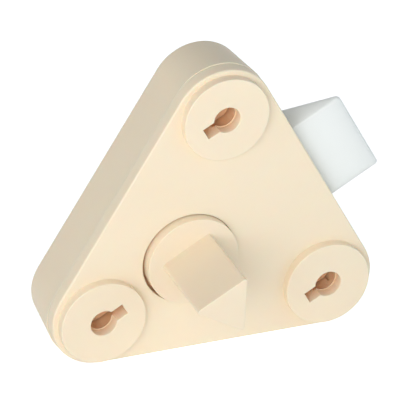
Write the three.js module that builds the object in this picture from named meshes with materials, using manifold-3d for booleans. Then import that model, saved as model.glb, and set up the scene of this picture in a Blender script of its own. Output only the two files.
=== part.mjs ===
// Triangle key latch for a cabinet or meter-box door.
// A three-cornered casing of two mouldings holds a spindle with a triangular drive. A cam arm on the spindle
// draws back a bevelled bolt, and two compression springs push the bolt out again.
// The latch is drawn flat, spindle axis on Z and bolt along +X, and then stood on its lower long side.
import * as THREE from 'three';
import { mergeVertices } from 'three/addons/utils/BufferGeometryUtils.js';
import Module from 'manifold-3d';

// Casing, in millimetres and degrees
const PAD_SPACING = 43; // between keyhole centres, the same on all three sides
const CORNER_RADIUS = 9.15; // casing edge about each keyhole centre
const CASE_DEPTH = 13.3; // back of the body to the face
const PLATE_THICKNESS = 2.2;
const PLATE_EDGE = 0.3; // chamfer along the front edge of the face plate
const PLATE_EASE = 0.2; // face plate's corners inside the body's, its straight sides level with them
const SEAM_GAP = 0.3; // shadow line between the face plate and the body
const RIM_EDGE = 0.1; // chamfer along the body rim
const BACK_EDGE = 0.5; // chamfer along the back of the body
const BODY_DRAFT = 4.5; // slope of the body's walls
const REAR_EASE = 0.3; // further slope of its corners, over the body's depth
const WALL = 1.95;
const FLOOR = 1.8;
const LIP_DEPTH = 1.4; // locating lip of the face plate inside the body
const LIP_THICKNESS = 1.2;

// Pads and keyholes
const PAD_RADIUS = 8;
const PAD_HEIGHT = 1.7;
const PAD_EDGE = 0.3;
const KEYHOLE_RADIUS = 2.45;
const SLOT_WIDTH = 2.3;
const SLOT_REACH = 4.5; // keyhole centre to the end of its slot
const KEYHOLE_WALL = 2.3; // plastic round the hole, in front of the well that a stud's head goes into
const SLOT_WALL = 3.2; // thicker beside the slot, so that the head is drawn tight
const STUD_ROOM = 0.5; // well past the keyhole's edge, all round
const WELL_DEPTH = 3.2; // behind the hole's wall
const WELL_WALL = 0.8; // skirt round a well, on the back of the face plate
const WELL_LAP = 0.8; // skirt past the pillar that closes the well from behind

// Case screws
const SCREW_RADIUS = 0.9;
const SCREW_HEAD_RADIUS = 1.8;
const SCREW_HEAD_HEIGHT = 1;
const SCREW_HEAD_DEPTH = 1.5; // head recess in the back of the body
const SCREW_LAND = 0.35; // plastic outside a head recess
const SCREW_COVER = 1; // plastic between a screw's pilot hole and the pad's face
const SCREW_POINT = 1.2;
const POST_WALL = 0.9;

// Spindle
const SPINDLE_FROM_PAD = 19.1; // spindle axis to the pad opposite the bolt
const DISC_RADIUS = 8.45;
const DISC_CLEARANCE = 0.35;
const DISC_PROUD = 1.65; // of the face plate
const DISC_EDGE = 0.3;
const FLANGE_OVERLAP = 1.2; // flange behind the face plate, past the edge of its hole
const FLANGE_THICKNESS = 1.5;
const CORE_RADIUS = 4;
const PIVOT_RADIUS = 2; // spigot on the body's floor that the spindle turns on
const PIVOT_HEIGHT = 2.6;
const DRIVE_SIDE = 11; // of the triangular drive, corner to corner before rounding
const DRIVE_LENGTH = 16.2;
const DRIVE_CORNER = 0.55;
const DRIVE_END_EDGE = 0.2;
const CAM_THROW = 8.3; // spindle axis to the centre of the cam's nose
const CAM_TURN = 70; // working turn, in degrees
const CAM_NOSE_RADIUS = 1.7;
const CAM_ARM_WIDTH = 2.8;

// Bolt
const BOLT_WIDTH = 17.2;
const BOLT_REACH = 10.2; // past the edge of the face plate
const BOLT_SEAT = 2; // rear face of the bolt above the body's floor
const BOLT_TIP = 0.6; // thickness of the bevel's thin end
const BOLT_BEVEL = 31; // degrees
const BOLT_CORNER = 0.7;
const FORK_THICKNESS = 2.5;
const FORK_ROOM = 0.8; // between the spindle's core and the arms of the fork
const LUG_LENGTH = 3.2; // what the cam's nose pushes against
const WING_THICKNESS = 3; // stop and spring seat on each side of the bolt

// Springs
const SPRING_COILS = 9;
const SPRING_RADIUS = 2.2; // to the middle of the wire
const WIRE_RADIUS = 0.35;
const SPRING_ROOM = 0.85; // between the fork and the springs
const SPRING_SEAT_X = 1; // face of each spring rib, from the spindle axis
const RIB_THICKNESS = 2;
const RIB_MARGIN = 0.35; // spring rib past the coil, each way
const SPRING_PIN_RADIUS = 1.3;
const SPRING_PIN_LENGTH = 2.5;
const RAIL_WIDTH = 1.2; // floor rails that guide the fork
const RAIL_GAP = 0.5; // under the bolt's wings

const RUN_GAP = 0.3; // between neighbours that slide, turn or rest on each other
const BITE = 0.5; // depth by which a moulded feature runs into its wall before they are joined
const STAND_ANGLE = 30; // the bolt's rise above level when the latch stands on its side

// Levels above the back of the body
const rimLevel = CASE_DEPTH - PLATE_THICKNESS - SEAM_GAP;
const underPlate = CASE_DEPTH - PLATE_THICKNESS;
const padTop = CASE_DEPTH + PAD_HEIGHT;
const wellFloor = padTop - KEYHOLE_WALL - WELL_DEPTH;
const skirtBottom = wellFloor - WELL_LAP;
const discTop = CASE_DEPTH + DISC_PROUD;
const flangeTop = underPlate - RUN_GAP;
const flangeBottom = flangeTop - FLANGE_THICKNESS;
const boltFront = underPlate - RUN_GAP;
const boltRear = FLOOR + BOLT_SEAT;
const forkBottom = FLOOR + RUN_GAP;
const forkTop = forkBottom + FORK_THICKNESS;
const wingTop = underPlate - LIP_DEPTH - RUN_GAP;
const springLevel = (boltRear + wingTop) / 2;

// Casing outline: three arcs about the keyhole centres
const radians = THREE.MathUtils.degToRad;
const padRing = PAD_SPACING / Math.sqrt(3);
const caseCentre = padRing - SPINDLE_FROM_PAD;
const CORNER_ANGLES = [60, 180, 300].map(radians);
const padCentres = CORNER_ANGLES.map((angle) => alongRay(caseCentre, padRing, angle));
const bodyRadius = (level) => CORNER_RADIUS - Math.tan(radians(BODY_DRAFT)) * (rimLevel - level);
const cavityRadius = (level) => bodyRadius(level) - WALL;
const sideFrom = (radius) => caseCentre + padRing / 2 + radius; // bolt side, by an outline's corner radius

// Bolt, cam and spring places along and across the bolt's axis
const discHole = DISC_RADIUS + DISC_CLEARANCE;
const flangeRadius = discHole + FLANGE_OVERLAP;
const restAngle = radians(90 - CAM_TURN / 2);
const boltTravel = 2 * CAM_THROW * Math.cos(restAngle);
const boltTipX = sideFrom(CORNER_RADIUS) + BOLT_REACH;
const blockX = flangeRadius + boltTravel + RUN_GAP;
const lugX = CAM_THROW * Math.cos(restAngle) - CAM_NOSE_RADIUS - RUN_GAP;
const lugInner = CAM_THROW * Math.sin(restAngle);
const forkInner = CORE_RADIUS + FORK_ROOM;
const forkOuter = CAM_THROW + CAM_NOSE_RADIUS;
const coilOuter = SPRING_RADIUS + WIRE_RADIUS;
const springSide = forkOuter + SPRING_ROOM + coilOuter;
const wingSide = springSide + coilOuter + RUN_GAP;
const wingFrontX = sideFrom(cavityRadius(boltRear)) - RUN_GAP;
const wingRearX = wingFrontX - WING_THICKNESS;

// Screw places: one behind each pad, towards the corner
const headHole = SCREW_HEAD_RADIUS + RUN_GAP;
const screwHole = SCREW_RADIUS + RUN_GAP;
const postRadius = screwHole + POST_WALL;
const screwRing = padRing + bodyRadius(0) - REAR_EASE - BACK_EDGE - SCREW_LAND - headHole;
const screwPlaces = CORNER_ANGLES.map((angle) => alongRay(caseCentre, screwRing, angle));
const pilotTop = padTop - SCREW_COVER;

const wellRadius = KEYHOLE_RADIUS + STUD_ROOM;

const ARC_STEPS = 10; // points along a third of a turn, halved
const ROUND_STEPS = 32; // sides of a round boss or hole
const DISC_STEPS = 48;

const wasm = await Module();
wasm.setup();

function alongRay(startX, distance, angle) {
  return new THREE.Vector2(startX + distance * Math.cos(angle), distance * Math.sin(angle));
}

// Boolean solids
function solid(geometry) {
  const bare = geometry.clone();
  bare.deleteAttribute('normal');
  bare.deleteAttribute('uv');
  const merged = mergeVertices(bare, 1e-4);
  const corners = merged.index.array;
  const kept = [];
  for (let i = 0; i < corners.length; i += 3) {
    const [a, b, c] = corners.slice(i, i + 3);
    if (a !== b && b !== c && c !== a) {
      kept.push(a, b, c);
    }
  }
  const mesh = new wasm.Mesh({
    numProp: 3,
    vertProperties: new Float32Array(merged.attributes.position.array),
    triVerts: new Uint32Array(kept),
  });
  return new wasm.Manifold(mesh);
}

function joined(geometries) {
  return geometries.map(solid).reduce((whole, piece) => whole.add(piece));
}

function meshOf(name, shape, material) {
  const { vertProperties, triVerts } = shape.getMesh();
  const geometry = new THREE.BufferGeometry();
  geometry.setAttribute('position', new THREE.BufferAttribute(vertProperties, 3));
  geometry.setIndex(new THREE.BufferAttribute(triVerts, 1));
  geometry.computeVertexNormals();
  const mesh = new THREE.Mesh(geometry, material);
  mesh.name = name;
  return mesh;
}

// Basic forms, placed by their limits
function block([x0, x1], [y0, y1], [z0, z1]) {
  const box = new THREE.BoxGeometry(x1 - x0, y1 - y0, z1 - z0);
  return box.translate((x0 + x1) / 2, (y0 + y1) / 2, (z0 + z1) / 2);
}

function upright(radius, [z0, z1], place = new THREE.Vector2(), sides = ROUND_STEPS) {
  const rod = new THREE.CylinderGeometry(radius, radius, z1 - z0, sides);
  return rod.rotateX(Math.PI / 2).translate(place.x, place.y, (z0 + z1) / 2);
}

function alongBolt(radius, [x0, x1], y, z) {
  const rod = new THREE.CylinderGeometry(radius, radius, x1 - x0, ROUND_STEPS / 2);
  return rod.rotateZ(Math.PI / 2).translate((x0 + x1) / 2, y, z);
}

function turned(profile, sides) {
  const points = profile.map(([radius, level]) => new THREE.Vector2(radius, level));
  return new THREE.LatheGeometry(points, sides).rotateX(Math.PI / 2);
}

function raised(shape, [z0, z1], bevel = 0) {
  const extrusion = new THREE.ExtrudeGeometry(shape, {
    depth: z1 - z0 - 2 * bevel,
    curveSegments: ARC_STEPS,
    bevelEnabled: bevel > 0,
    bevelThickness: bevel,
    bevelSize: bevel,
    bevelOffset: -bevel,
    bevelSegments: 1,
  });
  return extrusion.translate(0, 0, z0 + bevel);
}

function roundedTriangle(centre, cornerDistance, radius, cornerAngles) {
  const shape = new THREE.Shape();
  const reach = Math.PI / 3;
  for (const angle of cornerAngles) {
    const corner = alongRay(centre, cornerDistance, angle);
    shape.absarc(corner.x, corner.y, radius, angle - reach, angle + reach, false);
  }
  return shape;
}

// Three-cornered solid through sections of [corner radius, level, ease], lowest first
// Easing draws the corners in by that much and leaves the straight sides where they are
function caseLoft(sections) {
  const rings = sections.map(([radius, , ease = 0]) => (
    roundedTriangle(caseCentre, padRing - 2 * ease, radius + ease, CORNER_ANGLES).getPoints(ARC_STEPS)
  ));
  const count = rings[0].length;
  const positions = rings.flatMap((ring, level) => ring.flatMap(({ x, y }) => [x, y, sections[level][1]]));
  const triangles = [];
  for (let level = 0; level + 1 < rings.length; level += 1) {
    for (let i = 0; i < count; i += 1) {
      const low = level * count + i;
      const lowNext = level * count + ((i + 1) % count);
      triangles.push(low, lowNext, lowNext + count, low, lowNext + count, low + count);
    }
  }
  const top = (rings.length - 1) * count;
  for (const [a, b, c] of THREE.ShapeUtils.triangulateShape(rings[0], [])) {
    triangles.push(c, b, a, top + a, top + b, top + c);
  }
  const geometry = new THREE.BufferGeometry();
  geometry.setAttribute('position', new THREE.Float32BufferAttribute(positions, 3));
  geometry.setIndex(triangles);
  return geometry;
}

const bothSides = (make) => [1, -1].map(make);
const span = (side, near, far) => [side * near, side * far].sort((a, b) => a - b);

// Keyhole features are drawn with the slot along +X, then turned so that each slot runs inwards
function atKeyhole(geometry, padIndex) {
  const turn = Math.cos(CORNER_ANGLES[padIndex]) > 0 ? Math.PI : 0;
  const { x, y } = padCentres[padIndex];
  return geometry.rotateZ(turn).translate(x, y, 0);
}

// Round-ended block that follows each keyhole and its slot
function slotLong(radius, levels) {
  const outline = new THREE.Shape();
  outline.absarc(0, 0, radius, Math.PI / 2, 3 * Math.PI / 2, false);
  outline.absarc(SLOT_REACH, 0, radius, -Math.PI / 2, Math.PI / 2, false);
  return padCentres.map((_, padIndex) => atKeyhole(raised(outline, levels), padIndex));
}

// Body: a drafted tray with the bolt's opening, screw posts, pillars behind the keyholes, spring ribs,
// fork rails and the spindle's pivot
function bodyShell() {
  const outside = caseLoft([
    [bodyRadius(0) - BACK_EDGE, 0, REAR_EASE],
    [bodyRadius(BACK_EDGE), BACK_EDGE, REAR_EASE * (1 - BACK_EDGE / rimLevel)],
    [bodyRadius(rimLevel - RIM_EDGE), rimLevel - RIM_EDGE, REAR_EASE * RIM_EDGE / rimLevel],
    [bodyRadius(rimLevel) - RIM_EDGE, rimLevel],
  ]);
  const cavity = caseLoft([
    [cavityRadius(FLOOR), FLOOR],
    [cavityRadius(rimLevel + BITE), rimLevel + BITE],
  ]);
  const springRibs = bothSides((side) => block(
    [SPRING_SEAT_X - RIB_THICKNESS, SPRING_SEAT_X],
    span(side, springSide - coilOuter - RIB_MARGIN, springSide + coilOuter + RIB_MARGIN),
    [FLOOR - BITE, springLevel + coilOuter],
  ));
  const springPins = bothSides((side) => alongBolt(
    SPRING_PIN_RADIUS,
    [SPRING_SEAT_X - BITE, SPRING_SEAT_X + SPRING_PIN_LENGTH],
    side * springSide,
    springLevel,
  ));
  const rails = bothSides((side) => block(
    [SPRING_SEAT_X - BITE, sideFrom(cavityRadius(FLOOR)) + BITE],
    span(side, forkOuter + RUN_GAP, forkOuter + RUN_GAP + RAIL_WIDTH),
    [FLOOR - BITE, boltRear - RAIL_GAP],
  ));
  const posts = screwPlaces.map((place) => upright(postRadius, [FLOOR - BITE, rimLevel], place));
  const pillars = slotLong(wellRadius - RUN_GAP, [FLOOR - BITE, wellFloor]);
  const pivot = upright(PIVOT_RADIUS, [FLOOR - BITE, FLOOR + PIVOT_HEIGHT]);
  const opening = block(
    [sideFrom(cavityRadius(FLOOR)) - BITE, boltTipX],
    [-BOLT_WIDTH / 2 - RUN_GAP, BOLT_WIDTH / 2 + RUN_GAP],
    [boltRear - RUN_GAP, CASE_DEPTH],
  );
  const screwHoles = screwPlaces.flatMap((place) => [
    upright(screwHole, [-BITE, CASE_DEPTH], place),
    upright(headHole, [-BITE, SCREW_HEAD_DEPTH], place),
  ]);
  return solid(outside)
    .subtract(solid(cavity))
    .add(joined([...springRibs, ...springPins, ...rails, ...posts, ...pillars, pivot]))
    .subtract(joined([opening, ...screwHoles]));
}

// Keyholes with their slots, and the wells behind them for the studs' heads
function keyholeCuts() {
  const through = [underPlate, padTop + BITE];
  const holes = padCentres.flatMap((_, padIndex) => [
    upright(KEYHOLE_RADIUS, through),
    block([0, SLOT_REACH], [-SLOT_WIDTH / 2, SLOT_WIDTH / 2], through),
    upright(wellRadius, [skirtBottom - BITE, padTop - KEYHOLE_WALL]),
  ].map((cut) => atKeyhole(cut, padIndex)));
  return [...holes, ...slotLong(wellRadius, [skirtBottom - BITE, padTop - SLOT_WALL])];
}

// Face plate: three raised pads with keyholes, skirts round the wells, the spindle's hole and a locating lip
function facePlate() {
  const slab = caseLoft([
    [CORNER_RADIUS, underPlate, PLATE_EASE],
    [CORNER_RADIUS, CASE_DEPTH - PLATE_EDGE, PLATE_EASE],
    [CORNER_RADIUS - PLATE_EDGE, CASE_DEPTH, PLATE_EASE],
  ]);
  const padProfile = [
    [0, CASE_DEPTH - BITE],
    [PAD_RADIUS, CASE_DEPTH - BITE],
    [PAD_RADIUS, padTop - PAD_EDGE],
    [PAD_RADIUS - PAD_EDGE, padTop],
    [0, padTop],
  ];
  const pads = padCentres.map(({ x, y }) => turned(padProfile, DISC_STEPS).translate(x, y, 0));
  const lipBottom = underPlate - LIP_DEPTH;
  const lipRadius = cavityRadius(lipBottom) - RUN_GAP;
  const lipOutside = caseLoft([[lipRadius, lipBottom], [lipRadius, underPlate + BITE]]);
  const lipInside = caseLoft([
    [lipRadius - LIP_THICKNESS, lipBottom - BITE],
    [lipRadius - LIP_THICKNESS, CASE_DEPTH],
  ]);
  const boltWay = block(
    [0, boltTipX],
    [-BOLT_WIDTH / 2 - RUN_GAP, BOLT_WIDTH / 2 + RUN_GAP],
    [lipBottom - BITE, underPlate],
  );
  const lip = solid(lipOutside).subtract(joined([lipInside, boltWay]));
  const skirts = slotLong(wellRadius + WELL_WALL, [skirtBottom, underPlate + BITE]);
  const postWays = screwPlaces.map((place) => (
    upright(postRadius + RUN_GAP, [skirtBottom - BITE, underPlate], place)
  ));
  const rear = lip.add(joined(skirts)).subtract(joined(postWays));
  const spindleHole = upright(discHole, [underPlate - BITE, CASE_DEPTH + BITE], undefined, DISC_STEPS);
  const pilots = screwPlaces.map((place) => upright(screwHole, [underPlate - BITE, pilotTop], place));
  return joined([slab, ...pads])
    .add(rear)
    .subtract(joined([spindleHole, ...pilots, ...keyholeCuts()]));
}

// Spindle: triangular drive, disc, retaining flange, cam arm and a bore for the pivot, in one moulding
function spindle() {
  const bore = PIVOT_RADIUS + RUN_GAP;
  const boreTop = FLOOR + PIVOT_HEIGHT + RUN_GAP;
  const shaft = turned([
    [0, boreTop],
    [bore, boreTop],
    [bore, FLOOR + RUN_GAP],
    [CORE_RADIUS, FLOOR + RUN_GAP],
    [CORE_RADIUS, flangeBottom],
    [flangeRadius, flangeBottom],
    [flangeRadius, flangeTop],
    [DISC_RADIUS, flangeTop],
    [DISC_RADIUS, discTop - DISC_EDGE],
    [DISC_RADIUS - DISC_EDGE, discTop],
    [0, discTop],
  ], DISC_STEPS);
  const driveCorners = [-90, 30, 150].map(radians);
  const driveRing = DRIVE_SIDE / Math.sqrt(3) - 2 * DRIVE_CORNER;
  const driveSection = roundedTriangle(0, driveRing, DRIVE_CORNER, driveCorners);
  const driveLevels = [discTop - 2 * DRIVE_END_EDGE, discTop + DRIVE_LENGTH];
  const drive = raised(driveSection, driveLevels, DRIVE_END_EDGE);
  const camLevels = [forkTop + RUN_GAP, flangeBottom + BITE];
  const arm = block([CORE_RADIUS / 2, CAM_THROW], [-CAM_ARM_WIDTH / 2, CAM_ARM_WIDTH / 2], camLevels);
  const nose = upright(CAM_NOSE_RADIUS, camLevels, new THREE.Vector2(CAM_THROW, 0));
  const cam = [arm, nose].map((piece) => piece.rotateZ(restAngle));
  return joined([shaft, drive, ...cam]);
}

// Bolt: bevelled block, fork round the spindle, a lug for the cam, and wings to stop it and seat its springs
function bolt() {
  const bevelRun = (boltFront - BOLT_TIP - boltRear) / Math.tan(radians(BOLT_BEVEL));
  const sideView = new THREE.Shape([
    new THREE.Vector2(blockX, boltRear),
    new THREE.Vector2(boltTipX - bevelRun, boltRear),
    new THREE.Vector2(boltTipX, boltFront - BOLT_TIP),
    new THREE.Vector2(boltTipX, boltFront),
    new THREE.Vector2(blockX, boltFront),
  ]);
  const halfWidth = BOLT_WIDTH / 2;
  const bevelled = raised(sideView, [-halfWidth, halfWidth]).rotateX(Math.PI / 2);
  const plan = new THREE.Shape();
  plan.moveTo(blockX - BITE, -halfWidth);
  plan.absarc(boltTipX - BOLT_CORNER, BOLT_CORNER - halfWidth, BOLT_CORNER, -Math.PI / 2, 0, false);
  plan.absarc(boltTipX - BOLT_CORNER, halfWidth - BOLT_CORNER, BOLT_CORNER, 0, Math.PI / 2, false);
  plan.lineTo(blockX - BITE, halfWidth);
  const cornered = raised(plan, [boltRear - BITE, boltFront + BITE]);
  const forkArms = bothSides((side) => block(
    [lugX - LUG_LENGTH, blockX + BITE],
    span(side, forkInner, forkOuter),
    [forkBottom, forkTop],
  ));
  const forkRoot = block([blockX, blockX + WING_THICKNESS], [-forkOuter, forkOuter], [forkBottom, forkTop]);
  const lug = block(
    [lugX - LUG_LENGTH, lugX],
    [lugInner, forkOuter],
    [forkTop - BITE, flangeBottom - RUN_GAP],
  );
  const wings = block([wingRearX, wingFrontX], [-wingSide, wingSide], [boltRear, wingTop]);
  const springPins = bothSides((side) => alongBolt(
    SPRING_PIN_RADIUS,
    [wingRearX - SPRING_PIN_LENGTH, wingRearX + BITE],
    side * springSide,
    springLevel,
  ));
  return solid(bevelled)
    .intersect(solid(cornered))
    .add(joined([...forkArms, forkRoot, lug, wings, ...springPins]));
}

// Spring: one wire, straight for its own diameter at each seat, wound between
class SpringWire extends THREE.Curve {
  constructor(start, end) {
    super();
    this.start = start;
    this.end = end;
  }

  getPoint(t, target = new THREE.Vector3()) {
    const lead = 2 * WIRE_RADIUS;
    const wound = this.end - this.start - 2 * lead;
    const turnLength = 2 * Math.PI * SPRING_RADIUS * SPRING_COILS;
    const along = t * (turnLength + 2 * lead) - lead;
    const share = THREE.MathUtils.clamp(along / turnLength, 0, 1);
    const straight = along < 0 ? along : Math.max(along - turnLength, 0);
    const angle = 2 * Math.PI * SPRING_COILS * share;
    const x = this.start + lead + wound * share + straight;
    return target.set(x, SPRING_RADIUS * Math.cos(angle), SPRING_RADIUS * Math.sin(angle));
  }
}

const STEPS_PER_COIL = 8;
const WIRE_SIDES = 5;
const springWire = new SpringWire(SPRING_SEAT_X + RUN_GAP, wingRearX - RUN_GAP);
const springSteps = SPRING_COILS * STEPS_PER_COIL + 4;

function springGap() {
  const points = springWire.getSpacedPoints(springSteps);
  let least = Infinity;
  for (let i = 0; i < points.length; i += 1) {
    for (let j = i + STEPS_PER_COIL / 2; j < points.length; j += 1) {
      least = Math.min(least, points[i].distanceTo(points[j]));
    }
  }
  return least - 2 * WIRE_RADIUS;
}

function spring(side) {
  const section = new THREE.Shape();
  for (let i = 0; i < WIRE_SIDES; i += 1) {
    const corner = alongRay(0, WIRE_RADIUS, 2 * Math.PI * i / WIRE_SIDES);
    section[i === 0 ? 'moveTo' : 'lineTo'](corner.x, corner.y);
  }
  const coil = new THREE.ExtrudeGeometry(section, {
    steps: springSteps,
    extrudePath: springWire,
    bevelEnabled: false,
  });
  return solid(coil.translate(0, side * springSide, springLevel));
}

// Case screw: head in its recess at the back, point in the pad
function caseScrew(place) {
  const headTop = SCREW_HEAD_DEPTH - RUN_GAP;
  const pointTop = pilotTop - RUN_GAP;
  const shape = turned([
    [0, headTop - SCREW_HEAD_HEIGHT],
    [SCREW_HEAD_RADIUS, headTop - SCREW_HEAD_HEIGHT],
    [SCREW_HEAD_RADIUS, headTop],
    [SCREW_RADIUS, headTop],
    [SCREW_RADIUS, pointTop - SCREW_POINT],
    [0, pointTop],
  ], ROUND_STEPS / 2);
  return solid(shape.translate(place.x, place.y, 0));
}

// Materials
const finish = (color, roughness, metalness = 0) => (
  new THREE.MeshStandardMaterial({ color, roughness, metalness })
);
const CREAM = '#f3e3c8';
const NYLON = '#edf4ee';
const SPRING_STEEL = '#a9adb0';
const ZINC = '#b9bcc0';

// Assembly: the flat latch is stood up so that the face looks along -Y, then leaned onto its lower long side
const latch = new THREE.Group();
latch.rotation.y = -radians(STAND_ANGLE);
const flat = new THREE.Group();
flat.rotation.x = Math.PI / 2;
latch.add(flat);

flat.add(meshOf('body_shell', bodyShell(), finish(CREAM, 0.45)));
flat.add(meshOf('face_plate', facePlate(), finish(CREAM, 0.45)));
flat.add(meshOf('spindle', spindle(), finish(CREAM, 0.42)));
flat.add(meshOf('bolt', bolt(), finish(NYLON, 0.38)));
flat.add(meshOf('spring_upper', spring(1), finish(SPRING_STEEL, 0.35, 1)));
flat.add(meshOf('spring_lower', spring(-1), finish(SPRING_STEEL, 0.35, 1)));
['top', 'left', 'right'].forEach((corner, i) => {
  flat.add(meshOf(`case_screw_${corner}`, caseScrew(screwPlaces[i]), finish(ZINC, 0.4, 1)));
});

console.log(`spring: least gap between coils ${springGap().toFixed(2)} mm`);

export default latch;
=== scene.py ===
import math

import bmesh
import bpy
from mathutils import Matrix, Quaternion, Vector


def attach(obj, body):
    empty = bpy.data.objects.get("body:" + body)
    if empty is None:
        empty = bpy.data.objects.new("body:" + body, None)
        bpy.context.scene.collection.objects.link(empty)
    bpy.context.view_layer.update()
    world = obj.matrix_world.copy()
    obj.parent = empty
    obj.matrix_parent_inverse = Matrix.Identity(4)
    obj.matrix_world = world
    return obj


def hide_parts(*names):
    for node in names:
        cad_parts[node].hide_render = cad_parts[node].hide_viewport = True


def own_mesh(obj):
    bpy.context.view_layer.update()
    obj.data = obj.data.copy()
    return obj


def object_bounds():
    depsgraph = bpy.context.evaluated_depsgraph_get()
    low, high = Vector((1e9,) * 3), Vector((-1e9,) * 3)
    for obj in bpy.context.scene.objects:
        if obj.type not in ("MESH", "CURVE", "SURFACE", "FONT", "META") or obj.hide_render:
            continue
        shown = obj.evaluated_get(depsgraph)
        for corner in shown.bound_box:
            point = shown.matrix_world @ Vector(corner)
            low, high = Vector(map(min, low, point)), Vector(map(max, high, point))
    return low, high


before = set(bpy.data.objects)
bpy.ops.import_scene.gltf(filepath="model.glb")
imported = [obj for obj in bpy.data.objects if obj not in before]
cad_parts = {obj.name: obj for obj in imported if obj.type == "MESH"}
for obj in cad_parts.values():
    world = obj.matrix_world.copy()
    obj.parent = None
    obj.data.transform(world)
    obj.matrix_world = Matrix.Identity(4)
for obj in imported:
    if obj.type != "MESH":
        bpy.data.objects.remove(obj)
cad_low, cad_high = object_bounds()


# Body shell. A three-cornered tray of cream moulded plastic, drafted and open in front, in one with its
# screw posts, spring ribs, fork rails and the spigot that the spindle turns on. The bolt slides through
# its wall. Sizes are millimetres, with the latch lying flat: spindle on Z, bolt along +X, back at 0.
PAD_SPACING = 43.0
SPINDLE_FROM_PAD = 19.1
RUN_GAP = 0.3  # between pieces that slide or fit
BITE = 0.5  # how far joined pieces and cutters reach into each other
ROUND_SIDES = 96
SMALL_SIDES = 32

RIM_RADIUS = 9.15
RIM_LEVEL = 10.8
BODY_DRAFT = math.radians(4.5)
REAR_EASE = 0.3
RIM_EASE = 0.01
BACK_ROUND = 0.6
RIM_ROUND = 0.04
WALL = 1.95
FLOOR = 1.8
OPENING_ROUND = 0.2

BOLT_HALF_WIDTH = 8.6
BOLT_REAR = 3.8
FORK_OUTER = 10.0
SPRING_SIDE = 13.4
SPRING_LEVEL = 6.6
COIL_OUTER = 2.55
SPRING_SEAT_X = 1.0
SPRING_PIN_RADIUS = 1.3
SPRING_PIN_LENGTH = 2.5
RIB_THICKNESS = 2.0
RIB_MARGIN = 0.35
RAIL_WIDTH = 1.2
RAIL_TOP = 3.3
PIVOT_RADIUS = 2.0
PIVOT_TOP = 4.4

SCREW_RING = 29.876
SCREW_HOLE = 1.2
SCREW_HEAD_HOLE = 2.1
SCREW_HEAD_DEPTH = 1.5
POST_RADIUS = 2.1

SLOT_REACH = 4.5
WELL_RADIUS = 2.95
WELL_FLOOR = 9.5

pad_ring = PAD_SPACING / math.sqrt(3)
case_centre = pad_ring - SPINDLE_FROM_PAD
corner_angles = [math.radians(angle) for angle in (60, 180, 300)]


def along_ray(distance, angle):
    return case_centre + distance * math.cos(angle), distance * math.sin(angle)


pad_centres = [along_ray(pad_ring, angle) for angle in corner_angles]
screw_places = [along_ray(SCREW_RING, angle) for angle in corner_angles]
slot_ends = [(x + (SLOT_REACH if x < case_centre else -SLOT_REACH), y) for x, y in pad_centres]


def body_radius(level):
    return RIM_RADIUS - math.tan(BODY_DRAFT) * (RIM_LEVEL - level)


def cavity_radius(level):
    return body_radius(level) - WALL


def side_from(radius):
    """How far along X the bolt's side of the case lies, by the radius of its corners."""
    return case_centre + pad_ring / 2 + radius


def pick(*pieces):
    bpy.ops.object.select_all(action="DESELECT")
    for piece in pieces:
        piece.select_set(True)
    bpy.context.view_layer.objects.active = pieces[0]


def settled():
    bpy.ops.object.transform_apply(location=True, rotation=True, scale=True)
    return bpy.context.active_object


def rod(radius, low, high, at=(0, 0), sides=SMALL_SIDES, top_radius=None, turn=0):
    bpy.ops.object.select_all(action="DESELECT")
    bpy.ops.mesh.primitive_cone_add(
        vertices=sides,
        radius1=radius,
        radius2=radius if top_radius is None else top_radius,
        depth=high - low,
        location=(at[0], at[1], (low + high) / 2),
        rotation=(0, 0, turn),
    )
    return settled()


def block(x_limits, y_limits, z_limits):
    limits = (sorted(x_limits), sorted(y_limits), sorted(z_limits))
    bpy.ops.object.select_all(action="DESELECT")
    bpy.ops.mesh.primitive_cube_add(
        size=1,
        location=[(low + high) / 2 for low, high in limits],
        scale=[high - low for low, high in limits],
    )
    return settled()


def bolt_way_rod(radius, x_limits, y, z):
    low, high = sorted(x_limits)
    bpy.ops.object.select_all(action="DESELECT")
    bpy.ops.mesh.primitive_cylinder_add(
        vertices=SMALL_SIDES,
        radius=radius,
        depth=high - low,
        location=((low + high) / 2, y, z),
        rotation=(0, math.pi / 2, 0),
    )
    return settled()


FLAT_WITHIN = math.radians(0.5)


def hulled(pieces):
    pick(*pieces)
    bpy.ops.object.join()
    bpy.ops.object.mode_set(mode="EDIT")
    bpy.ops.mesh.select_all(action="SELECT")
    bpy.ops.mesh.convex_hull()
    bpy.ops.mesh.select_all(action="SELECT")
    bpy.ops.mesh.dissolve_limited(angle_limit=FLAT_WITHIN)
    bpy.ops.object.mode_set(mode="OBJECT")
    return bpy.context.active_object


def slot_long(radius, low, high, at, slot_end):
    return hulled([rod(radius, low, high, place) for place in (at, slot_end)])


def ring(radius, level, at):
    bpy.ops.object.select_all(action="DESELECT")
    place = (at[0], at[1], level)
    bpy.ops.mesh.primitive_circle_add(vertices=ROUND_SIDES, radius=radius, location=place)
    return settled()


def three_cornered(*sections):
    """A solid between outlines of (corner radius, level, ease). Ease draws in the corners alone."""
    rings = []
    for radius, level, ease in sections:
        for angle in corner_angles:
            rings.append(ring(radius + ease, level, along_ray(pad_ring - 2 * ease, angle)))
    return hulled(rings)


def combined(piece, others, operation):
    for other in others:
        modifier = piece.modifiers.new("combine", "BOOLEAN")
        modifier.solver = "EXACT"
        modifier.operation = operation
        modifier.object = other
        pick(piece)
        bpy.ops.object.modifier_apply(modifier=modifier.name)
        bpy.data.objects.remove(other)
    return piece


def fused(piece, others):
    return combined(piece, others, "UNION")


def cut(piece, others):
    return combined(piece, others, "DIFFERENCE")


SHARP = math.radians(25)
SAME_PLACE = 0.001  # points this near are one
HAIR = 0.02  # points this near to a surface are on it


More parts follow.
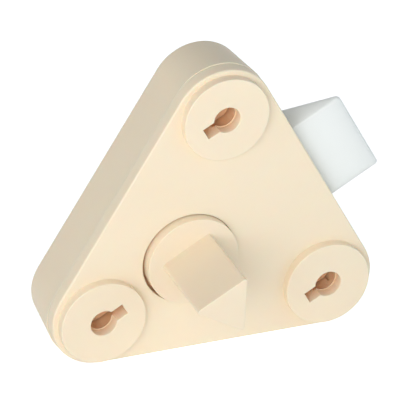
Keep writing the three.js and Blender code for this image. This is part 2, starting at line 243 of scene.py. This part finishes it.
def bevel_edges(piece, chosen, width, steps):
    pick(piece)
    bpy.ops.object.mode_set(mode="EDIT")
    bpy.ops.mesh.select_mode(type="EDGE")
    bpy.ops.mesh.select_all(action="DESELECT")
    mesh = bmesh.from_edit_mesh(piece.data)
    for edge in mesh.edges:
        edge.select_set(chosen(edge))
    bmesh.update_edit_mesh(piece.data)
    bpy.ops.mesh.bevel(offset=width, segments=steps, affect="EDGES", clamp_overlap=False)
    bpy.ops.object.mode_set(mode="OBJECT")


def round_edges(piece, wanted, width, steps):
    """Round the sharp edges whose ends are both wanted."""
    def sharp_and_wanted(edge):
        sharp = edge.calc_face_angle(0) > SHARP
        return sharp and all(wanted(corner.co) for corner in edge.verts)

    bevel_edges(piece, sharp_and_wanted, width, steps)


def at_level(level):
    return lambda point: abs(point.z - level) < SAME_PLACE


def mark_painted_shade(piece, painted_shade_at):
    """Note on each point how much painted warm shade it gets, 0 to 1, by how deep it lies in a well or gap.
    """
    painted_shade = piece.data.attributes.new("painted_shade", "FLOAT", "POINT")
    for point, mark in zip(piece.data.vertices, painted_shade.data):
        mark.value = min(max(painted_shade_at(point.co), 0), 1)


MILLIMETRE = 0.001
STAND_ANGLE = math.radians(30)
SMOOTH_BELOW = math.radians(32)


def stand_up(piece, name):
    """Name a finished piece, stand it on the latch's lower side in metres, and smooth its shading."""
    piece.name = name
    piece.data.name = name
    piece.scale = [MILLIMETRE] * 3
    piece.rotation_euler = (math.pi / 2, -STAND_ANGLE, 0)
    pick(piece)
    settled()
    bpy.ops.object.shade_smooth_by_angle(angle=SMOOTH_BELOW)
    evened = piece.modifiers.new("even_shading", "WEIGHTED_NORMAL")
    evened.keep_sharp = True
    bpy.ops.object.modifier_apply(modifier=evened.name)


def add_node(tree, kind, settings=(), **links):
    node = tree.nodes.new(kind)
    for key, value in dict(settings).items():
        if key in node.inputs:
            node.inputs[key].default_value = value
        else:
            setattr(node, key, value)
    for key, source in links.items():
        tree.links.new(source, node.inputs[key.replace("_", " ")])
    return node


def new_material(name):
    material = bpy.data.materials.new(name)
    material.use_nodes = True
    tree = material.node_tree
    return material, tree, tree.nodes["Principled BSDF"]


# A mix node's colours share their names with other sockets, so they go by number.
MIX_FIRST = 6
MIX_SECOND = 7
MIX_COLOUR = 2

# Noise in the plastic: its drift of tone, its uneven gloss and its grain. The shift keeps them apart.
CLOUDS = {"scale": 55, "detail": 3, "shift": 0}
SPOTS = {"scale": 420, "detail": 4, "shift": 3}
GRAIN = {"scale": 3200, "detail": 2, "shift": 7}
SATIN_GLOSS = {"To Min": 0.46, "To Max": 0.6}
GRAIN_RELIEF = {"Strength": 0.15, "Distance": 0.00002}


def noise(tree, place, seed, scale, detail, shift):
    settings = {"noise_dimensions": "4D", "Scale": scale, "Detail": detail, "W": seed + shift}
    return add_node(tree, "ShaderNodeTexNoise", settings, Vector=place).outputs["Fac"]


def moulded_plastic(name, pale, deep, painted_shade_tint, glow, glow_depth, glow_share, seed):
    """Satin moulding that light sinks into, with a slow drift of tone, uneven gloss, a fine grain and
    painted warm shade in its hollows.
    """
    material, tree, skin = new_material(name)
    skin.inputs["Subsurface Weight"].default_value = glow_share
    skin.inputs["Subsurface Radius"].default_value = glow
    skin.inputs["Subsurface Scale"].default_value = glow_depth * MILLIMETRE
    place = add_node(tree, "ShaderNodeTexCoord").outputs["Object"]
    tone = add_node(tree, "ShaderNodeValToRGB", Fac=noise(tree, place, seed, **CLOUDS))
    tone.color_ramp.elements[0].color = (*deep, 1)
    tone.color_ramp.elements[1].color = (*pale, 1)
    # Painted shade: where the mesh marks a well or gap, the colour is multiplied by a warm tint that stands
    # in for the dim reddish glow and shadow deep in the hollows.
    painted_shade = add_node(tree, "ShaderNodeAttribute", {"attribute_name": "painted_shade"})
    painted_shade_mix = add_node(tree, "ShaderNodeMix", {"data_type": "RGBA", "blend_type": "MULTIPLY"})
    tree.links.new(painted_shade.outputs["Fac"], painted_shade_mix.inputs["Factor"])
    tree.links.new(tone.outputs["Color"], painted_shade_mix.inputs[MIX_FIRST])
    painted_shade_mix.inputs[MIX_SECOND].default_value = (*painted_shade_tint, 1)
    tree.links.new(painted_shade_mix.outputs[MIX_COLOUR], skin.inputs["Base Color"])
    gloss = add_node(tree, "ShaderNodeMapRange", SATIN_GLOSS, Value=noise(tree, place, seed, **SPOTS))
    tree.links.new(gloss.outputs["Result"], skin.inputs["Roughness"])
    relief = add_node(tree, "ShaderNodeBump", GRAIN_RELIEF, Height=noise(tree, place, seed, **GRAIN))
    tree.links.new(relief.outputs["Normal"], skin.inputs["Normal"])
    return material


def shaded(colour, shade):
    return [shade * part for part in colour]


CREAM_PALE = (0.92, 0.785, 0.6)
CREAM_DEEP = (0.895, 0.75, 0.565)
# Painted warm shade: the cream is multiplied by this deep in wells and gaps.
CREAM_PAINTED_SHADE_TINT = (1.06, 0.79, 0.63)
CREAM_GLOW = (1.0, 0.5, 0.3)
CREAM_GLOW_DEPTH = 1.4
CREAM_GLOW_SHARE = 0.35


def cream_plastic(name, seed, shade=1):
    return moulded_plastic(
        name,
        pale=shaded(CREAM_PALE, shade),
        deep=shaded(CREAM_DEEP, shade),
        painted_shade_tint=CREAM_PAINTED_SHADE_TINT,
        glow=CREAM_GLOW,
        glow_depth=CREAM_GLOW_DEPTH,
        glow_share=CREAM_GLOW_SHARE,
        seed=seed,
    )


def dress(piece, material, body, node):
    piece.data.materials.append(material)
    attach(piece, body)
    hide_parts(node)


tray = three_cornered((body_radius(0), 0, REAR_EASE), (RIM_RADIUS, RIM_LEVEL, RIM_EASE))
round_edges(tray, at_level(0), BACK_ROUND, steps=5)
round_edges(tray, at_level(RIM_LEVEL), RIM_ROUND, steps=3)
past_rim = RIM_LEVEL + BITE
cut(tray, [three_cornered((cavity_radius(FLOOR), FLOOR, 0), (cavity_radius(past_rim), past_rim, 0))])

in_floor = FLOOR - BITE
inner_features = [rod(POST_RADIUS, in_floor, RIM_LEVEL, at) for at in screw_places]
inner_features.append(rod(PIVOT_RADIUS, in_floor, PIVOT_TOP))
for at, slot_end in zip(pad_centres, slot_ends):
    inner_features.append(slot_long(WELL_RADIUS - RUN_GAP, in_floor, WELL_FLOOR, at, slot_end))
rib_inner = SPRING_SIDE - COIL_OUTER - RIB_MARGIN
rib_outer = SPRING_SIDE + COIL_OUTER + RIB_MARGIN
rail_inner = FORK_OUTER + RUN_GAP
for side in (1, -1):
    inner_features.append(block(
        (SPRING_SEAT_X - RIB_THICKNESS, SPRING_SEAT_X),
        (side * rib_inner, side * rib_outer),
        (in_floor, SPRING_LEVEL + COIL_OUTER),
    ))
    inner_features.append(bolt_way_rod(
        SPRING_PIN_RADIUS,
        (SPRING_SEAT_X - BITE, SPRING_SEAT_X + SPRING_PIN_LENGTH),
        side * SPRING_SIDE,
        SPRING_LEVEL,
    ))
    inner_features.append(block(
        (SPRING_SEAT_X - BITE, side_from(cavity_radius(FLOOR)) + BITE),
        (side * rail_inner, side * (rail_inner + RAIL_WIDTH)),
        (in_floor, RAIL_TOP),
    ))
fused(tray, inner_features)

opening_half = BOLT_HALF_WIDTH + RUN_GAP
opening_low = BOLT_REAR - RUN_GAP
cut(tray, [block(
    (side_from(cavity_radius(FLOOR)) - BITE, side_from(RIM_RADIUS) + WALL),
    (-opening_half, opening_half),
    (opening_low, RIM_LEVEL + WALL),
)])


def on_opening_edge(point):
    outside = point.x > side_from(body_radius(point.z)) - HAIR
    return outside and abs(point.y) < opening_half + HAIR and point.z < RIM_LEVEL - 2 * RIM_ROUND


round_edges(tray, on_opening_edge, OPENING_ROUND, steps=2)
for at in screw_places:
    screw_hole = rod(SCREW_HOLE, -BITE, past_rim, at)
    head_hole = rod(SCREW_HEAD_HOLE, -BITE, SCREW_HEAD_DEPTH, at)
    cut(tray, [screw_hole, head_hole])


def from_slot(point, at, slot_end):
    low, high = sorted((at[0], slot_end[0]))
    return math.dist(point.xy, (min(max(point.x, low), high), at[1]))


def in_well(point):
    to_slot = min(from_slot(point, *ends) for ends in zip(pad_centres, slot_ends))
    to_post = min(math.dist(point.xy, at) for at in screw_places)
    return to_slot < WELL_RADIUS + HAIR or to_post < POST_RADIUS + HAIR


# Painted shade in full on the body's wells and screw posts above its floor.
def body_painted_shade(point):
    return 1 if in_well(point) and point.z > FLOOR + BITE else 0


mark_painted_shade(tray, body_painted_shade)
stand_up(tray, "body_shell_moulding")
dress(tray, cream_plastic("cream_body", seed=1), "casing", "body_shell")


# Springs. Two compression springs of drawn steel wire, each between a rib of the body and a wing of the
# bolt, over a moulded pin at both ends. They shorten as the bolt goes in.
SPRING_COILS = 9
SPRING_RADIUS = 2.2
WIRE_RADIUS = 0.35
SPRING_START = 1.3
SPRING_END = 21.187
TURN_STEPS = 32
WIRE_SIDES = 12

WIRE_COLOUR = (0.55, 0.56, 0.57)
WIRE_ROUGHNESS = 0.32
WIRE_SPOT_SCALE = 900


def coil():
    """One wire wound round the bolt's way, its ends turned to lie along it."""
    lead = 2 * WIRE_RADIUS
    wound_length = SPRING_END - SPRING_START - 2 * lead
    bpy.ops.object.select_all(action="DESELECT")
    bpy.ops.mesh.primitive_circle_add(
        vertices=WIRE_SIDES,
        radius=WIRE_RADIUS,
        location=(0, SPRING_RADIUS, 0),
    )
    wire = settled()
    winding = wire.modifiers.new("winding", "SCREW")
    winding.axis = "X"
    winding.iterations = SPRING_COILS
    winding.steps = TURN_STEPS
    winding.render_steps = TURN_STEPS
    winding.screw_offset = wound_length / SPRING_COILS
    winding.use_merge_vertices = True
    winding.merge_threshold = SAME_PLACE
    bpy.ops.object.modifier_apply(modifier=winding.name)
    bpy.ops.object.mode_set(mode="EDIT")
    for reach in (-lead, lead):
        mesh = bmesh.from_edit_mesh(wire.data)
        for edge in mesh.edges:
            here = all((corner.co.x > wound_length / 2) == (reach > 0) for corner in edge.verts)
            edge.select_set(edge.is_boundary and here)
        bmesh.update_edit_mesh(wire.data)
        bpy.ops.mesh.extrude_region_move(TRANSFORM_OT_translate={"value": (reach, 0, 0)})
        bpy.ops.mesh.edge_face_add()
        bpy.ops.mesh.select_all(action="DESELECT")
    bpy.ops.mesh.select_all(action="SELECT")
    bpy.ops.mesh.normals_make_consistent(inside=False)
    if bmesh.from_edit_mesh(wire.data).calc_volume(signed=True) < 0:
        bpy.ops.mesh.flip_normals()
    bpy.ops.object.mode_set(mode="OBJECT")
    wire.location = (SPRING_START + lead, 0, SPRING_LEVEL)
    pick(wire)
    return settled()


STEEL_SHADE = 0.8
STEEL_SPOT_DETAIL = 5
STEEL_BRIGHTER = 0.1
STEEL_DULLER = 0.12
STEEL_RELIEF = {"Strength": 0.1, "Distance": 0.00002}


def drawn_steel(name, colour, roughness, spot_scale):
    """Bright metal with the dull spots and slight unevenness that drawing or plating leaves."""
    material, tree, skin = new_material(name)
    place = add_node(tree, "ShaderNodeTexCoord").outputs["Object"]
    spotted = {"Scale": spot_scale, "Detail": STEEL_SPOT_DETAIL}
    spots = add_node(tree, "ShaderNodeTexNoise", spotted, Vector=place).outputs["Fac"]
    span = {"To Min": roughness - STEEL_BRIGHTER, "To Max": roughness + STEEL_DULLER}
    gloss = add_node(tree, "ShaderNodeMapRange", span, Value=spots)
    tree.links.new(gloss.outputs["Result"], skin.inputs["Roughness"])
    tone = add_node(tree, "ShaderNodeValToRGB", Fac=spots)
    tone.color_ramp.elements[0].color = (*shaded(colour, STEEL_SHADE), 1)
    tone.color_ramp.elements[1].color = (*colour, 1)
    tree.links.new(tone.outputs["Color"], skin.inputs["Base Color"])
    relief = add_node(tree, "ShaderNodeBump", STEEL_RELIEF, Height=spots)
    tree.links.new(relief.outputs["Normal"], skin.inputs["Normal"])
    skin.inputs["Metallic"].default_value = 1.0
    return material


def copied(model, place):
    piece = model.copy()
    piece.data = model.data.copy()
    bpy.context.scene.collection.objects.link(piece)
    piece.location = place
    pick(piece)
    return settled()


wire_steel = drawn_steel("spring_wire", WIRE_COLOUR, WIRE_ROUGHNESS, WIRE_SPOT_SCALE)
first_coil = coil()
for side, node in ((1, "spring_upper"), (-1, "spring_lower")):
    spring = copied(first_coil, (0, side * SPRING_SIDE, 0))
    stand_up(spring, node + "_coil")
    dress(spring, wire_steel, "casing", node)
    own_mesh(spring)
bpy.data.objects.remove(first_coil)


# Bolt. White nylon, slightly see-through, with a bevel on its rear side so that it rides over the keeper.
# It is moulded in one with the fork round the spindle, the lug that the cam pushes, and the wings that
# stop it and seat its springs.
BOLT_FRONT = 10.8
BOLT_TIP_X = 37.489
BOLT_BLOCK_X = 19.821
BOLT_TIP = 0.6
BOLT_BEVEL = math.radians(31)
BOLT_CORNER = 0.7
BOLT_FRONT_EDGE = 0.42
BOLT_EDGE = 0.14
CORNER_STEPS = 8
FORK_INNER = 4.8
FORK_LOW = 2.1
FORK_HIGH = 4.6
FORK_ROOT_LENGTH = 3.0
LUG_X = 2.761
LUG_LENGTH = 3.2
LUG_INNER = 6.799
LUG_HIGH = 9.0
WING_REAR_X = 21.487
WING_FRONT_X = 24.487
WING_SIDE = 16.25
WING_HIGH = 9.4

NYLON_PALE = (0.95, 1.0, 0.915)
NYLON_DEEP = (0.925, 0.985, 0.895)
# No painted shade on the nylon: its tint is white.
NYLON_PAINTED_SHADE_TINT = (1.0, 1.0, 1.0)
NYLON_GLOW = (1.0, 1.0, 1.0)
NYLON_GLOW_DEPTH = 3.5
NYLON_GLOW_SHARE = 0.85
NYLON_CLEAR = 0.04


def is_upright(edge):
    return abs(edge.verts[0].co.z - edge.verts[1].co.z) > BITE


def at_tip_corner(edge):
    return is_upright(edge) and edge.verts[0].co.x > BOLT_TIP_X - HAIR


def bisect(piece, at, normal, cut_off=False):
    """Score a piece along a plane, or cut off the side that the normal points to."""
    pick(piece)
    bpy.ops.object.mode_set(mode="EDIT")
    bpy.ops.mesh.select_all(action="SELECT")
    bpy.ops.mesh.bisect(plane_co=at, plane_no=normal, use_fill=cut_off, clear_outer=cut_off)
    bpy.ops.object.mode_set(mode="OBJECT")


def on_head(point):
    return point.x > WING_FRONT_X


def on_head_front(point):
    return on_head(point) and at_level(BOLT_FRONT)(point)


def on_head_rear(point):
    return on_head(point) and point.z < BOLT_FRONT - BOLT_FRONT_EDGE


bolt = block(
    (BOLT_BLOCK_X, BOLT_TIP_X),
    (-BOLT_HALF_WIDTH, BOLT_HALF_WIDTH),
    (BOLT_REAR, BOLT_FRONT),
)
bevel_edges(bolt, at_tip_corner, BOLT_CORNER, CORNER_STEPS)
bisect(bolt, (WING_FRONT_X + BITE, 0, 0), (1, 0, 0))
bevel_normal = (math.sin(BOLT_BEVEL), 0, -math.cos(BOLT_BEVEL))
bisect(bolt, (BOLT_TIP_X, 0, BOLT_FRONT - BOLT_TIP), bevel_normal, cut_off=True)
round_edges(bolt, on_head_front, BOLT_FRONT_EDGE, steps=6)
round_edges(bolt, on_head_rear, BOLT_EDGE, steps=3)

fork = [block(
    (BOLT_BLOCK_X, BOLT_BLOCK_X + FORK_ROOT_LENGTH),
    (-FORK_OUTER, FORK_OUTER),
    (FORK_LOW, FORK_HIGH),
)]
for side in (1, -1):
    fork.append(block(
        (LUG_X - LUG_LENGTH, BOLT_BLOCK_X + BITE),
        (side * FORK_INNER, side * FORK_OUTER),
        (FORK_LOW, FORK_HIGH),
    ))
    fork.append(bolt_way_rod(
        SPRING_PIN_RADIUS,
        (WING_REAR_X - SPRING_PIN_LENGTH, WING_REAR_X + BITE),
        side * SPRING_SIDE,
        SPRING_LEVEL,
    ))
lug = block((LUG_X - LUG_LENGTH, LUG_X), (LUG_INNER, FORK_OUTER), (FORK_HIGH - BITE, LUG_HIGH))
wings = block((WING_REAR_X, WING_FRONT_X), (-WING_SIDE, WING_SIDE), (BOLT_REAR, WING_HIGH))
fused(bolt, [*fork, lug, wings])

stand_up(bolt, "bolt_moulding")
nylon = moulded_plastic(
    "white_nylon",
    pale=NYLON_PALE,
    deep=NYLON_DEEP,
    painted_shade_tint=NYLON_PAINTED_SHADE_TINT,
    glow=NYLON_GLOW,
    glow_depth=NYLON_GLOW_DEPTH,
    glow_share=NYLON_GLOW_SHARE,
    seed=20,
)
nylon.node_tree.nodes["Principled BSDF"].inputs["Transmission Weight"].default_value = NYLON_CLEAR
dress(bolt, nylon, "bolt", "bolt")


# Spindle. Cream moulding in one piece: the triangular drive that the key fits over, the disc in the face
# plate's hole, the flange that keeps it behind the plate, and the cam arm that draws the bolt back.
DISC_RADIUS = 8.45
DISC_TOP = 14.95
DISC_EDGE = 0.1
FLANGE_RADIUS = 10.0
FLANGE_LOW = 9.3
FLANGE_HIGH = 10.8
CORE_RADIUS = 4.0
CORE_LOW = 2.1
BORE_RADIUS = 2.3
BORE_TOP = 4.7
DRIVE_SIDE = 11.0
DRIVE_END = 31.15
DRIVE_CORNER = 0.55
DRIVE_HALF_CORNER = math.radians(30)
DRIVE_END_EDGE = 0.15
CAM_THROW = 8.3
CAM_ANGLE = math.radians(55)
CAM_NOSE_RADIUS = 1.7
CAM_ARM_WIDTH = 2.8
CAM_LOW = 4.9
FACE_LEVEL = 13.3
GAP_SHADE_DEPTH = 0.8
SPINDLE_SHADE = 0.97

spindle = rod(DISC_RADIUS, FLANGE_HIGH - BITE, DISC_TOP, sides=ROUND_SIDES)
round_edges(spindle, at_level(DISC_TOP), DISC_EDGE, steps=4)
bisect(spindle, (0, 0, FACE_LEVEL), (0, 0, 1))
in_flange = FLANGE_LOW + BITE
flange = rod(FLANGE_RADIUS, FLANGE_LOW, FLANGE_HIGH, sides=ROUND_SIDES)
core = rod(CORE_RADIUS, CORE_LOW, in_flange, sides=ROUND_SIDES)
cam_tip = (CAM_THROW * math.cos(CAM_ANGLE), CAM_THROW * math.sin(CAM_ANGLE))
cam_nose = rod(CAM_NOSE_RADIUS, CAM_LOW, in_flange, cam_tip)
cam_arm = block(
    (CORE_RADIUS / 2, CAM_THROW),
    (-CAM_ARM_WIDTH / 2, CAM_ARM_WIDTH / 2),
    (CAM_LOW, in_flange),
)
cam_arm.rotation_euler.z = CAM_ANGLE
pick(cam_arm)
settled()

drive = rod(DRIVE_SIDE / math.sqrt(3), DISC_TOP - BITE, DRIVE_END, sides=3, turn=math.pi)
corner_reach = DRIVE_CORNER / math.tan(DRIVE_HALF_CORNER)
bevel_edges(drive, is_upright, corner_reach, CORNER_STEPS)
round_edges(drive, at_level(DRIVE_END), DRIVE_END_EDGE, steps=3)

fused(spindle, [flange, core, cam_arm, cam_nose, drive])
cut(spindle, [rod(BORE_RADIUS, CORE_LOW - BITE, BORE_TOP)])


# Painted shade on the disc's side below the face, down in the gap round it.
def spindle_painted_shade(point):
    return (FACE_LEVEL - point.z) / GAP_SHADE_DEPTH if point.xy.length > CORE_RADIUS else 0


mark_painted_shade(spindle, spindle_painted_shade)
stand_up(spindle, "spindle_moulding")
spindle_cream = cream_plastic("cream_spindle", seed=40, shade=SPINDLE_SHADE)
dress(spindle, spindle_cream, "spindle", "spindle")


# Face plate. Cream moulding that closes the tray: a rounded edge, three raised pads with a keyhole each for
# hanging the latch on studs, the spindle's hole, and a lip behind that locates it in the body. Screws from
# the back hold it.
PLATE_RADIUS = 9.15
PLATE_EASE = 0.2
PLATE_LOW = 10.84
PLATE_EDGE = 0.35
PLATE_REAR_EDGE = 0.03
LIP_LOW = 9.7
LIP_THICKNESS = 1.2
PAD_RADIUS = 8.0
PAD_TOP = 15.0
PAD_EDGE = 0.2
KEYHOLE_RADIUS = 2.45
KEYHOLE_LEDGE = 0.15
KEYHOLE_WALL = 2.3
KEYHOLE_EDGE = 0.15
SLOT_WIDTH = 2.3
SLOT_WALL = 3.2
WELL_WALL = 0.8
WELL_LOW = 8.7
WELL_SHADE_DEPTH = 3.5
SPINDLE_HOLE = 8.74
SPINDLE_PLAY = 0.22
PILOT_TOP = 14.0

plate = three_cornered((PLATE_RADIUS, PLATE_LOW, PLATE_EASE), (PLATE_RADIUS, FACE_LEVEL, PLATE_EASE))
round_edges(plate, at_level(FACE_LEVEL), PLATE_EDGE, steps=4)
round_edges(plate, at_level(PLATE_LOW), PLATE_REAR_EDGE, steps=2)
for at in pad_centres:
    pad = rod(PAD_RADIUS, FACE_LEVEL - BITE, PAD_TOP, at, ROUND_SIDES)
    round_edges(pad, at_level(PAD_TOP), PAD_EDGE, steps=4)
    fused(plate, [pad])

lip_radius = cavity_radius(LIP_LOW) - RUN_GAP
lip = three_cornered((lip_radius, LIP_LOW, 0), (lip_radius, PLATE_LOW + BITE, 0))
lip_inside = lip_radius - LIP_THICKNESS
in_plate = PLATE_LOW + BITE / 2
post_ways = [rod(POST_RADIUS + RUN_GAP, WELL_LOW - BITE, in_plate, at) for at in screw_places]
bolt_way = block((0, BOLT_TIP_X), (-opening_half, opening_half), (LIP_LOW - BITE, in_plate))
cut(lip, [three_cornered((lip_inside, LIP_LOW - BITE, 0), (lip_inside, FACE_LEVEL, 0)), bolt_way])
for at, slot_end in zip(pad_centres, slot_ends):
    fused(lip, [slot_long(WELL_RADIUS + WELL_WALL, WELL_LOW, PLATE_LOW + BITE, at, slot_end)])
fused(plate, [cut(lip, post_ways)])

pocket_top = PAD_TOP - KEYHOLE_WALL
hole_centre = Vector((-SPINDLE_PLAY, 0))
cutters = [rod(SPINDLE_HOLE, PLATE_LOW - BITE, FACE_LEVEL + BITE, hole_centre, ROUND_SIDES)]
for at, slot_end in zip(pad_centres, slot_ends):
    slot_sides = (at[1] - SLOT_WIDTH / 2, at[1] + SLOT_WIDTH / 2)
    cutters += [
        rod(KEYHOLE_RADIUS, pocket_top + KEYHOLE_LEDGE, PAD_TOP + BITE, at, ROUND_SIDES),
        rod(KEYHOLE_RADIUS - KEYHOLE_LEDGE, PLATE_LOW, PAD_TOP, at, ROUND_SIDES),
        block((at[0], slot_end[0]), slot_sides, (PLATE_LOW, PAD_TOP + BITE)),
        rod(WELL_RADIUS, WELL_LOW - BITE, pocket_top, at, ROUND_SIDES),
        slot_long(WELL_RADIUS, WELL_LOW - BITE, PAD_TOP - SLOT_WALL, at, slot_end),
    ]
cutters += [rod(SCREW_HOLE, PLATE_LOW - BITE, PILOT_TOP, at) for at in screw_places]
cut(plate, cutters)


def on_keyhole_rim(point):
    nearest = min(math.dist(point.xy, at) for at in pad_centres)
    return at_level(PAD_TOP)(point) and nearest < SLOT_REACH + SLOT_WIDTH


def in_spindle_hole(point):
    return (point.xy - hole_centre).length < SPINDLE_HOLE + HAIR


def on_spindle_hole_rim(point):
    return at_level(FACE_LEVEL)(point) and in_spindle_hole(point)


round_edges(plate, on_keyhole_rim, KEYHOLE_EDGE, steps=3)
round_edges(plate, on_spindle_hole_rim, KEYHOLE_EDGE, steps=3)


# Painted shade growing with depth down the keyhole wells and the spindle hole's wall.
def plate_painted_shade(point):
    if in_well(point):
        return (PAD_TOP - point.z) / WELL_SHADE_DEPTH
    if in_spindle_hole(point):
        return (FACE_LEVEL - KEYHOLE_EDGE - point.z) / GAP_SHADE_DEPTH
    return 0


mark_painted_shade(plate, plate_painted_shade)
stand_up(plate, "face_plate_moulding")
dress(plate, cream_plastic("cream_plate", seed=60), "casing", "face_plate")


# Case screws. Three zinc-plated self-tapping screws from the back, one at each corner, with round heads and
# cross recesses. They go through the body's posts into the face plate behind its pads.
SCREW_HEAD_LOW = 0.2
SCREW_HEAD_HIGH = 1.2
SCREW_HEAD_RADIUS = 1.8
SCREW_HEAD_ROUND = 0.45
SCREW_RADIUS = 0.9
SCREW_POINT_LOW = 12.5
SCREW_POINT_RADIUS = 0.05
SCREW_POINT_BITE = 0.01
SCREW_END = 13.7
RECESS_LENGTH = 2.1
RECESS_WIDTH = 0.5
RECESS_DEPTH = 0.6

ZINC_COLOUR = (0.66, 0.67, 0.68)
ZINC_ROUGHNESS = 0.36
ZINC_SPOT_SCALE = 700

screw = rod(SCREW_HEAD_RADIUS, SCREW_HEAD_LOW, SCREW_HEAD_HIGH, sides=ROUND_SIDES)
round_edges(screw, at_level(SCREW_HEAD_LOW), SCREW_HEAD_ROUND, steps=5)
recess_levels = (SCREW_HEAD_LOW - BITE, SCREW_HEAD_LOW + RECESS_DEPTH)
along_recess = (-RECESS_LENGTH / 2, RECESS_LENGTH / 2)
across_recess = (-RECESS_WIDTH / 2, RECESS_WIDTH / 2)
cut(screw, [
    block(along_recess, across_recess, recess_levels),
    block(across_recess, along_recess, recess_levels),
])
shank = rod(SCREW_RADIUS, SCREW_HEAD_HIGH - RECESS_DEPTH / 2, SCREW_POINT_LOW)
tapered_from = SCREW_POINT_LOW - SCREW_POINT_BITE
screw_point = rod(SCREW_RADIUS, tapered_from, SCREW_END, top_radius=SCREW_POINT_RADIUS)
fused(screw, [shank, screw_point])

zinc = drawn_steel("zinc_plate", ZINC_COLOUR, ZINC_ROUGHNESS, ZINC_SPOT_SCALE)
for at, corner in zip(screw_places, ("top", "left", "right")):
    case_screw = copied(screw, (at[0], at[1], 0))
    stand_up(case_screw, f"case_screw_{corner}_zinc")
    dress(case_screw, zinc, "casing", f"case_screw_{corner}")
bpy.data.objects.remove(screw)


# Floor. A plain white sheet that the latch stands on. The camera, and what mirrors it, sees it lifted to
# white, and the latch's soft shadow still falls on it.
FLOOR_SIZE = 6.0
FLOOR_COLOUR = (0.9, 0.9, 0.9, 1)
FLOOR_ROUGHNESS = 0.9
FLOOR_LIFT = 0.7
WHITE = (1, 1, 1, 1)


def greater(tree, first, second):
    node = add_node(tree, "ShaderNodeMath", {"operation": "MAXIMUM"})
    tree.links.new(first, node.inputs[0])
    tree.links.new(second, node.inputs[1])
    return node.outputs[0]


def seen_directly(tree):
    """1 for rays from the camera and for those that a mirror or a clear body passes on, else 0."""
    path = add_node(tree, "ShaderNodeLightPath")
    mirrored = greater(tree, path.outputs["Is Camera Ray"], path.outputs["Is Glossy Ray"])
    return greater(tree, mirrored, path.outputs["Is Transmission Ray"])


bpy.ops.object.select_all(action="DESELECT")
bpy.ops.mesh.primitive_plane_add(size=FLOOR_SIZE, location=(0, 0, cad_low.z))
floor = settled()
floor.name = "floor"
floor_material, floor_tree, floor_skin = new_material("white_sheet")
floor_skin.inputs["Base Color"].default_value = FLOOR_COLOUR
floor_skin.inputs["Roughness"].default_value = FLOOR_ROUGHNESS
floor_skin.inputs["Specular IOR Level"].default_value = 0.0
floor_skin.inputs["Emission Color"].default_value = WHITE
lift = add_node(floor_tree, "ShaderNodeMath", {"operation": "MULTIPLY"})
floor_tree.links.new(seen_directly(floor_tree), lift.inputs[0])
lift.inputs[1].default_value = FLOOR_LIFT
floor_tree.links.new(lift.outputs[0], floor_skin.inputs["Emission Strength"])
floor.data.materials.append(floor_material)


# Light. An even pale room, a wide soft box low in front and to the left, a weak cool one on the right, and
# one beside the lens that reaches into the keyholes, as for a catalogue picture. The boxes stand clear of
# the floor.
ROOM_LIGHT = (0.34, 0.36, 0.37, 1)
BOX_DISTANCE = 0.5
BOX_HEIGHT = 0.28
BOX_ELEVATION = math.radians(14)
KEY_AZIMUTH = math.radians(-38)
KEY_WIDTH = 0.9
KEY_POWER = 1.05
KEY_COLOUR = (1.0, 0.97, 0.92)
FILL_AZIMUTH = math.radians(55)
FILL_WIDTH = 0.4
FILL_POWER = 0.5
FILL_COLOUR = (0.7, 0.87, 1.0)
LENS_AZIMUTH = math.radians(-36)
LENS_ELEVATION = math.radians(24)
LENS_WIDTH = 0.3
LENS_POWER = 0.9
LENS_COLOUR = (0.97, 0.99, 1.0)


def direction_to(azimuth, elevation):
    level = math.cos(elevation)
    return Vector((math.sin(azimuth) * level, -math.cos(azimuth) * level, math.sin(elevation)))


world = bpy.data.worlds.new("pale_room")
world.use_nodes = True
bpy.context.scene.world = world
room_tree = world.node_tree
room = add_node(room_tree, "ShaderNodeMix", {"data_type": "RGBA"})
room_tree.links.new(seen_directly(room_tree), room.inputs["Factor"])
room.inputs[MIX_FIRST].default_value = ROOM_LIGHT
room.inputs[MIX_SECOND].default_value = WHITE
room_tree.links.new(room.outputs[MIX_COLOUR], room_tree.nodes["Background"].inputs["Color"])

case_middle = (cad_low + cad_high) / 2


def soft_box(name, azimuth, elevation, width, power, colour):
    to_box = direction_to(azimuth, elevation)
    bpy.ops.object.light_add(type="AREA", location=case_middle + to_box * BOX_DISTANCE)
    box = bpy.context.active_object
    box.name = name
    box.rotation_euler = (-to_box).to_track_quat("-Z", "Y").to_euler()
    box.data.shape = "RECTANGLE"
    box.data.size = width
    box.data.size_y = BOX_HEIGHT
    box.data.energy = power
    box.data.color = colour


soft_box("key_box", KEY_AZIMUTH, BOX_ELEVATION, KEY_WIDTH, KEY_POWER, KEY_COLOUR)
soft_box("fill_box", FILL_AZIMUTH, BOX_ELEVATION, FILL_WIDTH, FILL_POWER, FILL_COLOUR)
soft_box("lens_box", LENS_AZIMUTH, LENS_ELEVATION, LENS_WIDTH, LENS_POWER, LENS_COLOUR)


# Camera. A long lens a metre away, left of the face and above it, turned a little about its own axis.
# Its place comes from a fit to the edges of the case, the pads, the drive and the bolt.
CAMERA_AZIMUTH = math.radians(-24.27)
CAMERA_ELEVATION = math.radians(30.27)
CAMERA_ROLL = math.radians(3.18)
CAMERA_DISTANCE = 1.0
CAMERA_LENS = 511.9
CAMERA_SENSOR = 36.0
CAMERA_AIM = Vector((0.0033, -0.00889, 0.00858))

to_camera = direction_to(CAMERA_AZIMUTH, CAMERA_ELEVATION)
bpy.ops.object.camera_add(location=CAMERA_AIM + to_camera * CAMERA_DISTANCE)
camera = bpy.context.active_object
level_view = (-to_camera).to_track_quat("-Z", "Y")
camera.rotation_euler = (Quaternion(to_camera, CAMERA_ROLL) @ level_view).to_euler()
camera.data.sensor_width = CAMERA_SENSOR
camera.data.lens = CAMERA_LENS
bpy.context.scene.camera = camera
bpy.context.scene.view_settings.view_transform = "Standard"
